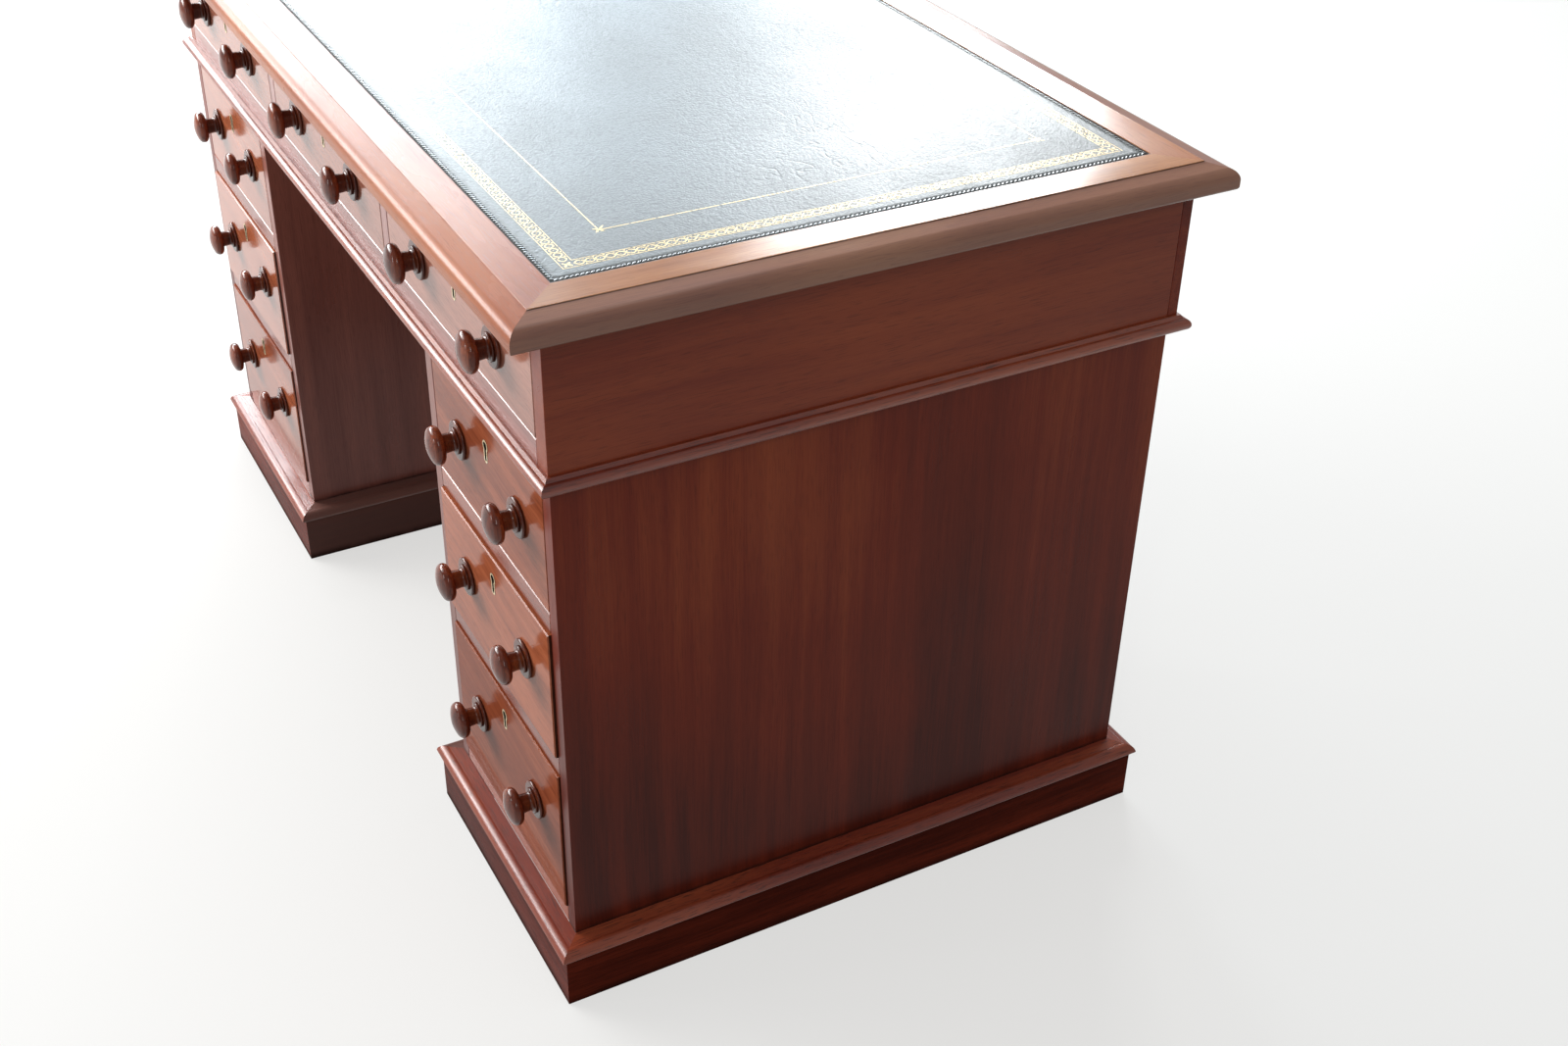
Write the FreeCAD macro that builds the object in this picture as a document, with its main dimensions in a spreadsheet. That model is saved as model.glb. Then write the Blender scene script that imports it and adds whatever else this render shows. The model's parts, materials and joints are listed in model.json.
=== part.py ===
import FreeCAD, Part
import os
import re
import Sketcher
from FreeCAD import Placement, Rotation, Vector

# Twin-pedestal desk with nine drawers and a leather writing surface.
# X runs along its length, the drawers face -Y and Z is up.
# The origin is on the floor, under the middle of the top. Lengths are in millimetres.

driving_sizes = {
    # Top: leather, its mitred border and the thumb moulding on the border's edge
    "top_thickness": 25,
    "border_width": 60,
    "thumb_width": 25,
    "quirk_depth": 0.8,
    "thumb_slope_width": 14,
    "thumb_slope_drop": 2.6,
    "nose_drop": 16,
    "nose_lower_radius": 4.5,
    "leather_thickness": 1.5,
    "leather_set_down": 0.3,
    "end_overhang": 29,
    "front_overhang": 36,
    "back_overhang": 27,
    # Frieze: the drawer section under the top
    "frieze_depth": 660,
    "frieze_end_thickness": 23,
    "frieze_back_thickness": 12,
    "frieze_opening_width": 370,
    "frieze_opening_height": 90,
    "frieze_bottom_rail_height": 40,
    "frieze_top_rail_height": 21.5,
    "divider_width": 19,
    "guide_height": 18,
    # Bead round the foot of the frieze
    "bead_height": 16,
    "bead_projection": 11,
    "bead_ledge": 2.5,
    "bead_drop": 3.5,
    # Pedestals
    "pedestal_inset": 1,
    "pedestal_back_inset": 9,
    "pedestal_side_thickness": 18,
    "pedestal_back_thickness": 12,
    "pedestal_opening_width": 279,
    "pedestal_lift": 4,
    "bottom_board_thickness": 20.5,
    "lower_opening_height": 170,
    "middle_opening_height": 145,
    "upper_opening_height": 125,
    "rail_height": 22.5,
    "rail_margin": 8,
    "top_board_thickness": 14,
    "runner_width": 30,
    # Plinth round each pedestal, with its cap moulding
    "plinth_height": 61,
    "plinth_thickness": 19,
    "cap_height": 13,
    "cap_projection": 5,
    "cap_drop": 2.5,
    "cap_round_width": 11,
    "cap_round_share": 0.8,
    # Drawers, with their gaps in the openings and how far two rows stand proud
    "run_clearance": 0.3,
    "side_clearance": 0.8,
    "top_clearance": 1.3,
    "rear_clearance": 10,
    "front_thickness": 22,
    "arris_radius": 0.8,
    "drawer_side_thickness": 10,
    "drawer_back_thickness": 10,
    "drawer_bottom_thickness": 7,
    "bottom_rise": 9,
    "groove_depth": 4,
    "groove_clearance": 0.2,
    "side_drop": 3,
    "back_drop": 12,
    "middle_proud": 3.2,
    "lower_proud": 2.3,
    # Stops on the rails, behind the drawer fronts
    "stop_length": 30,
    "stop_width": 40,
    "stop_height": 6,
    "stop_clearance": 0.2,
    "stop_place_share": 0.28,
    # Turned knobs
    "frieze_knob_spacing": 190,
    "pedestal_knob_spacing": 149,
    "upper_knob_rise": 2.5,
    "middle_knob_rise": 2.5,
    "lower_knob_rise": 6,
    "knob_radius": 19.5,
    "head_root_radius": 10,
    "head_back_slope": 0.8,
    "head_back_round": 5,
    "shoulder_round": 6,
    "head_front_depth": 9,
    "neck_radius": 9.2,
    "neck_length": 8.6,
    "cove_length": 3,
    "rose_radius": 20,
    "rose_thickness": 3.6,
    "collar_radius": 13.4,
    "collar_thickness": 2.2,
    "spigot_radius": 8,
    "spigot_clearance": 0.2,
    # Locks and keyhole escutcheons
    "keyhole_drop": 25,
    "escutcheon_head_radius": 6,
    "escutcheon_slot_radius": 4.1,
    "escutcheon_slot_length": 14,
    "escutcheon_wall": 1.8,
    "escutcheon_depth": 4,
    "escutcheon_proud": 0.3,
    "escutcheon_clearance": 0.1,
    "lock_width": 60,
    "lock_height": 40,
    "lock_depth": 11,
    "lock_rise": 15,
    "lock_clearance": 0.2,
    # Pegs that locate the top section on the pedestals
    "peg_radius": 6,
    "peg_rise": 20,
    "peg_skin": 2,
    "peg_clearance": 0.2,
    "peg_margin": 60,
    # Every cutter runs past the face that it opens by this much
    "overrun": 1,
}

# Levels and faces that follow from the driving sizes, each from those above it
derived_sizes = {
    "quarter_arc_share": "sqrt(1 / 2)",
    "cap_top": "plinth_height + cap_height",
    "lower_floor": "cap_top + bottom_board_thickness",
    "lower_ceiling": "lower_floor + lower_opening_height",
    "middle_floor": "lower_ceiling + rail_height",
    "middle_ceiling": "middle_floor + middle_opening_height",
    "upper_floor": "middle_ceiling + rail_height",
    "upper_ceiling": "upper_floor + upper_opening_height",
    "pedestal_top": "upper_ceiling + top_board_thickness",
    "frieze_floor": "pedestal_top + frieze_bottom_rail_height",
    "frieze_ceiling": "frieze_floor + frieze_opening_height",
    "frieze_top": "frieze_ceiling + frieze_top_rail_height",
    "desk_height": "frieze_top + top_thickness",
    "leather_top_level": "desk_height - leather_set_down",
    "frieze_pitch": "frieze_opening_width + divider_width",
    "frieze_inner_half": "frieze_pitch + frieze_opening_width / 2",
    "frieze_half": "frieze_inner_half + frieze_end_thickness",
    "top_half_width": "frieze_half + end_overhang",
    "top_half_depth": "(front_overhang + frieze_depth + back_overhang) / 2",
    "frieze_front": "front_overhang - top_half_depth",
    "frieze_rear": "top_half_depth - back_overhang",
    "frieze_middle": "(frieze_front + frieze_rear) / 2",
    "frieze_back_face": "frieze_rear - frieze_back_thickness",
    "pedestal_width": "pedestal_opening_width + 2 * pedestal_side_thickness",
    "pedestal_centre": "frieze_half - pedestal_inset - pedestal_width / 2",
    "pedestal_front": "frieze_front + pedestal_inset",
    "pedestal_rear": "frieze_rear - pedestal_back_inset",
    "pedestal_middle": "(pedestal_front + pedestal_rear) / 2",
    "pedestal_depth": "pedestal_rear - pedestal_front",
    "pedestal_back_face": "pedestal_rear - pedestal_back_thickness",
    "rail_depth": "front_thickness + stop_clearance + stop_length + rail_margin",
    "cap_width": "plinth_thickness + cap_projection",
    "cap_round_top": "cap_height - cap_drop",
    "cap_edge_radius": "cap_round_top * (1 - cap_round_share)",
    "collar_front": "rose_thickness + collar_thickness",
    "neck_front": "collar_front + cove_length",
    "head_back": "neck_front + neck_length",
    "back_round_start": "head_back + head_back_slope",
    "head_widest": "back_round_start + head_back_round",
    "shoulder_centre": "knob_radius - shoulder_round",
    "dome_share": "(head_front_depth - shoulder_round) / shoulder_centre",
    "dome_tangent": "1 + dome_share^2",
    "dome_half_width": "shoulder_centre + shoulder_round * 2 * dome_share / dome_tangent",
    "dome_base": "head_widest + shoulder_round * (1 - dome_share^2) / dome_tangent",
    "dome_radius": "shoulder_centre * dome_tangent / (2 * dome_share) + shoulder_round",
    "head_front": "head_widest + head_front_depth",
}

doc = FreeCAD.newDocument("pedestal_desk")
sheet = doc.addObject("Spreadsheet::Sheet", "sizes")
rows = list(driving_sizes.items()) + [(name, "=" + formula) for name, formula in derived_sizes.items()]
for row, (name, content) in enumerate(rows, start=1):
    sheet.set(f"A{row}", name)
    sheet.set(f"B{row}", str(content))
    sheet.setAlias(f"B{row}", name)
doc.recompute()

nodes = []


# Size names in a formula, made into references to the sheet's cells
def cell(formula):
    return re.sub(r"\b[a-z]\w*\b(?!\()", r"sizes.\g<0>", formula)


def value(formula):
    return float(sheet.evalExpression(cell(formula)))


def bind(item, **formulas):
    for name, formula in formulas.items():
        item.setExpression(name, cell(formula))


def place(item, x, y, z, turn=0):
    item.Placement = Placement(Vector(), Rotation(Vector(0, 0, 1), turn))
    for axis, formula in zip("xyz", (x, y, z)):
        item.setExpression("Placement.Base." + axis, cell(formula))


# Registers a sub-part under its name: one piece, or like pieces that share a name
def node(label, *pieces):
    item = pieces[0]
    if len(pieces) > 1:
        item = doc.addObject("Part::Compound", label)
        item.Links = list(pieces)
    item.Label = label
    nodes.append(item)


# A plain board between pairs of faces
def board(name, x, y, z):
    box = doc.addObject("Part::Box", name)
    extents = [f"({high}) - ({low})" for low, high in (x, y, z)]
    bind(box, Length=extents[0], Width=extents[1], Height=extents[2])
    place(box, x[0], y[0], z[0])
    return box


# A board centred on x
def centred_board(name, x, half, y, z):
    return board(name, (f"{x} - ({half})", f"{x} + ({half})"), y, z)


def cut(name, base, *cutters):
    tool = cutters[0]
    if len(cutters) > 1:
        tool = doc.addObject("Part::MultiFuse", name + "_cutters")
        tool.Shapes = list(cutters)
    result = doc.addObject("Part::Cut", name)
    result.Base = base
    result.Tool = tool
    return result


# Constraints of one sketch, gathered so that it is solved once
class Drawing:
    def __init__(self, sketch):
        self.sketch = sketch
        self.constraints = []
        self.formulas = {}

    def hold(self, *constraint):
        self.constraints.append(Sketcher.Constraint(*constraint))

    def hold_at(self, formula, *constraint):
        self.formulas[self.sketch.ConstraintCount + len(self.constraints)] = formula
        self.hold(*constraint, value(formula))

    # A point is held on an axis where its coordinate is zero
    def fix_point(self, edge, end, x, y):
        for kind, axis, formula in (("DistanceX", -2, x), ("DistanceY", -1, y)):
            if formula == "0":
                self.hold("PointOnObject", edge, end, axis)
            else:
                self.hold_at(formula, kind, edge, end)

    def finish(self):
        self.sketch.addConstraint(self.constraints)
        for index, formula in self.formulas.items():
            self.sketch.setExpression(f"Constraints[{index}]", cell(formula))


# Closed outline through corners. A corner is (x, y) at the end of a straight edge,
# or (x, y, through_x, through_y) at the end of an arc.
def draw(sketch, corners):
    drawing = Drawing(sketch)
    points = [Vector(value(corner[0]), value(corner[1]), 0) for corner in corners]
    ends = []
    for index, corner in enumerate(corners):
        start, finish = points[index - 1], points[index]
        if len(corner) == 2:
            edge = sketch.addGeometry(Part.LineSegment(start, finish))
            ends.append((edge, 1, 2))
            continue
        through = Vector(value(corner[2]), value(corner[3]), 0)
        edge = sketch.addGeometry(Part.Arc(start, through, finish))
        forward = (sketch.getPoint(edge, 1) - start).Length < (sketch.getPoint(edge, 2) - start).Length
        ends.append((edge, 1, 2) if forward else (edge, 2, 1))
        mark = sketch.addGeometry(Part.Point(through), True)
        drawing.hold("PointOnObject", mark, 1, edge)
        drawing.fix_point(mark, 1, corner[2], corner[3])
    for index, corner in enumerate(corners):
        edge, _, end = ends[index]
        following, begin, _ = ends[(index + 1) % len(ends)]
        drawing.hold("Coincident", edge, end, following, begin)
        drawing.fix_point(edge, end, corner[0], corner[1])
    drawing.finish()


def draw_circle(sketch, x, y, radius):
    drawing = Drawing(sketch)
    circle = sketch.addGeometry(Part.Circle(Vector(value(x), value(y), 0), Vector(0, 0, 1), value(radius)))
    drawing.fix_point(circle, 3, x, y)
    drawing.hold_at(radius, "Radius", circle)
    drawing.finish()


def sketch_on(body, role, name):
    plane = next(item for item in body.Origin.OriginFeatures if item.Role == role)
    sketch = body.newObject("Sketcher::SketchObject", f"{body.Name}_{name}")
    sketch.AttachmentSupport = (plane, [""])
    sketch.MapMode = "FlatFace"
    return sketch


def feature(body, kind, name, profile):
    item = body.newObject("PartDesign::" + kind, f"{body.Name}_{name}")
    item.Profile = profile
    return item


# A moulding that stands out along +Y from its inner edge, with mitred ends
def mitred_length(name, outline, inner_length, width, turn, x, y, z):
    body = doc.addObject("PartDesign::Body", name)
    section = sketch_on(body, "YZ_Plane", "section")
    draw(section, outline)
    pad = feature(body, "Pad", "pad", section)
    pad.SideType = "Symmetric"
    bind(pad, Length=f"{inner_length} + 2 * {width}")
    mitres = sketch_on(body, "XY_Plane", "mitres")
    near = f"({inner_length}) / 2 - overrun"
    far = f"({inner_length}) / 2 + {width} + overrun"
    for side in ("", "-"):
        corners = [(near, "-overrun"), (far, "-overrun"), (far, f"{width} + overrun")]
        draw(mitres, [(f"{side}({across})", out) for across, out in corners])
    pocket = feature(body, "Pocket", "pocket", mitres)
    pocket.Type = "ThroughAll"
    pocket.Reversed = True
    place(body, x, y, z, turn)
    return body


# Four lengths round a rectangle, in the order front, back, left, right
def mitred_frame(name, outline, width, x, y, z, length, depth):
    sides = (
        ("front", length, 180, x, f"{y} - ({depth}) / 2"),
        ("back", length, 0, x, f"{y} + ({depth}) / 2"),
        ("left", depth, 90, f"{x} - ({length}) / 2", y),
        ("right", depth, 270, f"{x} + ({length}) / 2", y),
    )
    return [
        mitred_length(f"{name}_{side}", outline, inner_length, width, turn, middle_x, middle_y, z)
        for side, inner_length, turn, middle_x, middle_y in sides
    ]


# A round corner from one point to another, square to the outline at both ends
def quarter_arc(start_x, start_y, end_x, end_y, level_first):
    if level_first:
        through_x = f"{start_x} + (({end_x}) - ({start_x})) * quarter_arc_share"
        through_y = f"{end_y} + (({start_y}) - ({end_y})) * quarter_arc_share"
    else:
        through_x = f"{end_x} + (({start_x}) - ({end_x})) * quarter_arc_share"
        through_y = f"{start_y} + (({end_y}) - ({start_y})) * quarter_arc_share"
    return (end_x, end_y, through_x, through_y)


def make_top():
    slope_x = "border_width - thumb_width + thumb_slope_width"
    slope_y = "top_thickness - quirk_depth - thumb_slope_drop"
    nose_y = "top_thickness - nose_drop"
    flat_x = "border_width - thumb_width"
    low_x = "border_width - nose_lower_radius"
    outline = [
        ("0", "0"),
        (low_x, "0"),
        quarter_arc(low_x, "0", "border_width", "nose_lower_radius", True),
        ("border_width", nose_y),
        quarter_arc("border_width", nose_y, slope_x, slope_y, False),
        (flat_x, "top_thickness - quirk_depth"),
        (flat_x, "top_thickness"),
        ("0", "top_thickness"),
    ]
    half_width = "top_half_width - border_width"
    half_depth = "top_half_depth - border_width"
    border = mitred_frame(
        "top_border", outline, "border_width", "0", "0", "frieze_top",
        f"2 * ({half_width})", f"2 * ({half_depth})",
    )
    for side, piece in zip(("front", "back", "left", "right"), border):
        node("top_border_" + side, piece)
    depth = (f"-({half_depth})", half_depth)
    seat = "leather_top_level - leather_thickness"
    node("top_panel", centred_board("top_panel", "0", half_width, depth, ("frieze_top", seat)))
    node("leather_top", centred_board("leather_top", "0", half_width, depth, (seat, "leather_top_level")))


# Hole and peg share their centre: a clearance widens the hole
def peg(name, x, y, clearance="0"):
    cylinder = doc.addObject("Part::Cylinder", name)
    bind(cylinder, Radius=f"peg_radius + {clearance}", Height="top_board_thickness - peg_skin + peg_rise")
    place(cylinder, x, y, "upper_ceiling + peg_skin")
    return cylinder


# Two pegs enter the end runner of each side, and one the bottom rail near the kneehole
def peg_places(side):
    runner = f"{side}(frieze_inner_half - runner_width / 2)"
    near_kneehole = f"{side}(pedestal_centre - pedestal_opening_width / 4)"
    return {
        "front": (runner, "frieze_front + rail_depth + peg_margin"),
        "back": (runner, "pedestal_back_face - peg_margin"),
        "kneehole": (near_kneehole, "frieze_front + rail_depth / 2"),
    }


def make_frieze():
    height = ("pedestal_top", "frieze_top")
    length = ("frieze_front", "frieze_back_face")
    behind_rail = ("frieze_front + rail_depth", "frieze_back_face")
    rail = ("frieze_front", "frieze_front + rail_depth")
    upright = ("frieze_floor", "frieze_ceiling")
    runner = ("pedestal_top", "frieze_floor")
    kicker = ("frieze_ceiling", "frieze_top")
    guide = ("frieze_floor", "frieze_floor + guide_height")

    ends = {"left": ("-frieze_half", "-frieze_inner_half"), "right": ("frieze_inner_half", "frieze_half")}
    for side, across in ends.items():
        node("frieze_end_" + side, board("frieze_end_" + side, across, length, height))
    rear = ("frieze_back_face", "frieze_rear")
    node("frieze_back", centred_board("frieze_back", "0", "frieze_half", rear, height))

    places = {"left": peg_places("-"), "right": peg_places("")}
    rail_holes = [
        peg(f"bottom_rail_hole_{side}", *spots["kneehole"], clearance="peg_clearance")
        for side, spots in places.items()
    ]
    bottom_rail = cut(
        "frieze_bottom_rail",
        centred_board("frieze_bottom_rail_blank", "0", "frieze_inner_half", rail, runner),
        *rail_holes,
    )
    face_frame = [bottom_rail, centred_board("frieze_top_rail", "0", "frieze_inner_half", rail, kicker)]
    carriers = []
    for side, sign in (("left", "-"), ("right", "")):
        divider = f"{sign}frieze_pitch / 2"
        face_frame.append(centred_board(f"divider_{side}", divider, "divider_width / 2", rail, upright))
        guide_name = f"drawer_guide_{side}"
        carriers.append(centred_board(guide_name, divider, "divider_width / 2", behind_rail, guide))
        wide = "divider_width / 2 + runner_width"
        carriers.append(centred_board(f"middle_runner_{side}", divider, wide, behind_rail, runner))
        carriers.append(centred_board(f"middle_kicker_{side}", divider, wide, behind_rail, kicker))
        end = f"{sign}(frieze_inner_half - runner_width / 2)"
        carriers.append(centred_board(f"end_kicker_{side}", end, "runner_width / 2", behind_rail, kicker))
        holes = [
            peg(f"end_runner_hole_{side}_{spot}", *places[side][spot], clearance="peg_clearance")
            for spot in ("front", "back")
        ]
        blank = centred_board(f"end_runner_{side}_blank", end, "runner_width / 2", behind_rail, runner)
        carriers.append(cut(f"end_runner_{side}", blank, *holes))
    node("frieze_face_frame", *face_frame)
    node("frieze_runners", *carriers)

    nose = "(bead_height - bead_drop) / 2"
    outline = [
        ("0", "0"),
        (f"bead_projection - {nose}", "0"),
        (f"bead_projection - {nose}", "bead_height - bead_drop", "bead_projection", nose),
        ("bead_ledge", "bead_height"),
        ("0", "bead_height"),
    ]
    bead = mitred_frame(
        "bead", outline, "bead_projection", "0", "frieze_middle", "pedestal_top",
        "2 * frieze_half", "frieze_depth",
    )
    node("bead_moulding", *bead)


def make_pedestals():
    boards, backs, rails, runners, plinths, caps, pegs = [], [], [], [], [], [], []
    depth = ("pedestal_front", "pedestal_rear")
    inside_depth = ("pedestal_front", "pedestal_back_face")
    rail_span = ("pedestal_front", "pedestal_front + rail_depth")
    runner_span = ("pedestal_front + rail_depth", "pedestal_back_face")
    height = ("pedestal_lift", "pedestal_top")
    half_opening = "pedestal_opening_width / 2"
    plinth_outline = [
        ("0", "0"),
        ("plinth_thickness", "0"),
        ("plinth_thickness", "plinth_height"),
        ("0", "plinth_height"),
    ]
    cap_low_x = "cap_width - cap_edge_radius"
    cap_outline = [
        ("0", "0"),
        (cap_low_x, "0"),
        quarter_arc(cap_low_x, "0", "cap_width", "cap_edge_radius", True),
        quarter_arc("cap_width", "cap_edge_radius", "cap_width - cap_round_width", "cap_round_top", False),
        ("0", "cap_height"),
    ]
    for side, sign in (("left", "-"), ("right", "")):
        centre = f"{sign}pedestal_centre"
        wall_offset = "(pedestal_opening_width + pedestal_side_thickness) / 2"
        for wall, direction in (("outer", "+"), ("inner", "-")):
            name = f"{side}_pedestal_{wall}_side"
            middle = f"{sign}(pedestal_centre {direction} {wall_offset})"
            node(name, centred_board(name, middle, "pedestal_side_thickness / 2", depth, height))
        rear = ("pedestal_back_face", "pedestal_rear")
        upright = ("cap_top", "pedestal_top")
        backs.append(centred_board(f"{side}_pedestal_back", centre, half_opening, rear, upright))
        bottom = ("cap_top", "lower_floor")
        boards.append(centred_board(f"{side}_bottom_board", centre, half_opening, inside_depth, bottom))
        spots = peg_places(sign)
        holes = [peg(f"{side}_board_hole_{spot}", *spots[spot], clearance="peg_clearance") for spot in spots]
        cover = ("upper_ceiling", "pedestal_top")
        blank = centred_board(f"{side}_top_board_blank", centre, half_opening, inside_depth, cover)
        boards.append(cut(f"{side}_top_board", blank, *holes))
        pegs += [peg(f"{side}_peg_{spot}", *spots[spot]) for spot in spots]
        levels = {"middle": ("lower_ceiling", "middle_floor"), "upper": ("middle_ceiling", "upper_floor")}
        for row, level in levels.items():
            rails.append(centred_board(f"{side}_{row}_rail", centre, half_opening, rail_span, level))
            for wall, direction in (("outer", "+"), ("inner", "-")):
                middle = f"{sign}(pedestal_centre {direction} ({half_opening} - runner_width / 2))"
                name = f"{side}_{row}_{wall}_runner"
                runners.append(centred_board(name, middle, "runner_width / 2", runner_span, level))
        plinths += mitred_frame(
            f"{side}_plinth", plinth_outline, "plinth_thickness", centre, "pedestal_middle", "0",
            "pedestal_width", "pedestal_depth",
        )
        caps += mitred_frame(
            f"{side}_cap", cap_outline, "cap_width", centre, "pedestal_middle", "plinth_height",
            "pedestal_width", "pedestal_depth",
        )
    node("pedestal_boards", *boards)
    node("pedestal_backs", *backs)
    node("pedestal_rails", *rails)
    node("pedestal_runners", *runners)
    node("plinth_boards", *plinths)
    node("plinth_mouldings", *caps)
    node("locating_pegs", *pegs)


# Keyhole outline about the centre of its round head, with a margin all round
def keyhole(x, y, margin):
    head = f"(escutcheon_head_radius + {margin})"
    slot = f"(escutcheon_slot_radius + {margin})"
    throat = f"{y} - sqrt({head}^2 - {slot}^2)"
    foot = f"{y} - escutcheon_slot_length"
    return [
        (f"{x} + {slot}", foot, x, f"{foot} - {slot}"),
        (f"{x} + {slot}", throat),
        (f"{x} - {slot}", throat, x, f"{y} + {head}"),
        (f"{x} - {slot}", foot),
    ]


def make_escutcheon(name, x, y, z):
    body = doc.addObject("PartDesign::Body", name)
    ring = sketch_on(body, "XZ_Plane", "ring")
    ring.setExpression("AttachmentOffset.Base.z", cell("escutcheon_proud"))
    draw(ring, keyhole("0", "0", "0"))
    draw(ring, keyhole("0", "0", "-escutcheon_wall"))
    pad = feature(body, "Pad", "pad", ring)
    pad.Reversed = True
    bind(pad, Length="escutcheon_depth + escutcheon_proud")
    place(body, x, y, z)
    return body


# Knob turned about Y, with its spigot inside the drawer front and its head towards -Y
def make_knob(name, x, y, z):
    body = doc.addObject("PartDesign::Body", name)
    profile = sketch_on(body, "XY_Plane", "profile")
    outline = [("0", "front_thickness"), ("spigot_radius", "front_thickness"), ("spigot_radius", "0")]
    base = "0"
    for turning in ("rose", "collar"):
        radius, half = f"{turning}_radius", f"{turning}_thickness / 2"
        face = f"{base} - {turning}_thickness"
        outline.append((f"{radius} - {half}", base))
        outline.append((f"{radius} - {half}", face, radius, f"{base} - {half}"))
        base = face
    collar_edge = "collar_radius - collar_thickness / 2"
    back_edge = "knob_radius - head_back_round"
    shoulder_x = "shoulder_centre + shoulder_round * (1 + dome_share) / sqrt(2 * dome_tangent)"
    shoulder_y = "head_widest + shoulder_round * (1 - dome_share) / sqrt(2 * dome_tangent)"
    dome_x = "dome_radius * dome_share / sqrt(dome_tangent)"
    dome_y = "head_front - dome_radius + dome_radius / sqrt(dome_tangent)"
    outline += [
        quarter_arc(collar_edge, "-collar_front", "neck_radius", "-neck_front", True),
        ("head_root_radius", "-head_back"),
        (back_edge, "-back_round_start"),
        quarter_arc(back_edge, "-back_round_start", "knob_radius", "-head_widest", True),
        ("dome_half_width", "-dome_base", shoulder_x, f"-({shoulder_y})"),
        ("0", "-head_front", dome_x, f"-({dome_y})"),
    ]
    draw(profile, outline)
    turned = feature(body, "Revolution", "turned", profile)
    turned.ReferenceAxis = (profile, ["V_Axis"])
    place(body, x, y, z)
    return body


# A drawer in its opening: x is the middle of the opening, flush the plane of the carcass front,
# rear the face behind the drawer and proud how far the drawer stands out at rest
def make_drawer(name, x, width, floor, ceiling, flush, rear, proud, spacing, rise):
    face = f"({flush} - {proud})"
    inner = f"({face} + front_thickness)"
    end = f"({rear} - rear_clearance - {proud})"
    base = f"({floor} + run_clearance)"
    half = f"({width} / 2 - side_clearance)"
    tall = f"({ceiling} - top_clearance - {base})"
    key_height = f"({tall} - keyhole_drop)"
    knob_height = f"(({floor} + {ceiling}) / 2 + {rise})"

    body = doc.addObject("PartDesign::Body", name + "_front_body")
    outline = sketch_on(body, "XZ_Plane", "outline")
    draw(outline, [(f"-{half}", "0"), (half, "0"), (half, tall), (f"-{half}", tall)])
    pad = feature(body, "Pad", "pad", outline)
    pad.Reversed = True
    bind(pad, Length="front_thickness")
    doc.recompute()
    show_face = min(range(len(pad.Shape.Faces)), key=lambda index: pad.Shape.Faces[index].CenterOfMass.y)
    arris = body.newObject("PartDesign::Fillet", name + "_arris")
    arris.Base = (pad, [f"Face{show_face + 1}"])
    bind(arris, Radius="arris_radius")
    holes = sketch_on(body, "XZ_Plane", "holes")
    bore_radius = "spigot_radius + spigot_clearance"
    for sign in ("-", ""):
        draw_circle(holes, f"{sign}{spacing} / 2", f"{knob_height} - {base}", bore_radius)
    draw(holes, keyhole("0", key_height, "-escutcheon_wall"))
    bore = feature(body, "Pocket", "bore", holes)
    bore.Type = "ThroughAll"
    seat = sketch_on(body, "XZ_Plane", "seat")
    draw(seat, keyhole("0", key_height, "escutcheon_clearance"))
    counterbore = feature(body, "Pocket", "counterbore", seat)
    bind(counterbore, Length="escutcheon_depth")
    place(body, x, face, base)

    bottom_low = f"({base} + bottom_rise)"
    bottom_high = f"({bottom_low} + drawer_bottom_thickness)"
    groove = (bottom_low, f"{bottom_high} + groove_clearance")
    inside = f"({half} - drawer_side_thickness)"
    key_level = f"({base} + {key_height})"
    lock_levels = (f"{key_level} + lock_rise - lock_height", f"{key_level} + lock_rise")
    front_groove = centred_board(
        name + "_front_groove", x, f"{inside} + groove_depth",
        (f"{inner} - groove_depth", f"{inner} + overrun"), groove,
    )
    recess = centred_board(
        name + "_lock_recess", x, "lock_width / 2 + lock_clearance",
        (f"{inner} - lock_depth", f"{inner} + overrun"),
        (f"{lock_levels[0]} - lock_clearance", f"{lock_levels[1]} + lock_clearance"),
    )
    node(name + "_front", cut(name + "_front_cut", body, front_groove, recess))

    side_top = f"({base} + {tall} - side_drop)"
    pieces = []
    for side, sign in (("left", "-"), ("right", "+")):
        middle = f"{x} {sign} ({half} - drawer_side_thickness / 2)"
        blank = centred_board(
            f"{name}_{side}_blank", middle, "drawer_side_thickness / 2", (inner, end), (base, side_top),
        )
        slot = centred_board(
            f"{name}_{side}_groove", f"{x} {sign} {inside}", "groove_depth",
            (f"{inner} - overrun", f"{end} + overrun"), groove,
        )
        pieces.append(cut(f"{name}_{side}_side", blank, slot))
    pieces.append(centred_board(
        name + "_back", x, inside,
        (f"{end} - drawer_back_thickness", end), (bottom_high, f"{side_top} - back_drop"),
    ))
    pieces.append(centred_board(
        name + "_bottom", x, f"{inside} + groove_depth - groove_clearance",
        (f"{inner} - groove_depth + groove_clearance", end), (bottom_low, bottom_high),
    ))
    node(name + "_box", *pieces)

    knobs = [
        make_knob(f"{name}_{side}_knob", f"{x} {sign} {spacing} / 2", face, knob_height)
        for side, sign in (("left", "-"), ("right", "+"))
    ]
    node(name + "_knobs", *knobs)
    lock_span = (f"{inner} - lock_depth", inner)
    case = centred_board(name + "_lock_case", x, "lock_width / 2", lock_span, lock_levels)
    node(name + "_lock", case, make_escutcheon(name + "_escutcheon", x, face, key_level))

    stop_y = f"({flush} + front_thickness + stop_clearance)"
    return [
        centred_board(
            f"{name}_{side}_stop", f"{x} {sign} {width} * stop_place_share", "stop_width / 2",
            (stop_y, f"{stop_y} + stop_length"), (floor, f"{floor} + stop_height"),
        )
        for side, sign in (("left", "-"), ("right", "+"))
    ]


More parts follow.
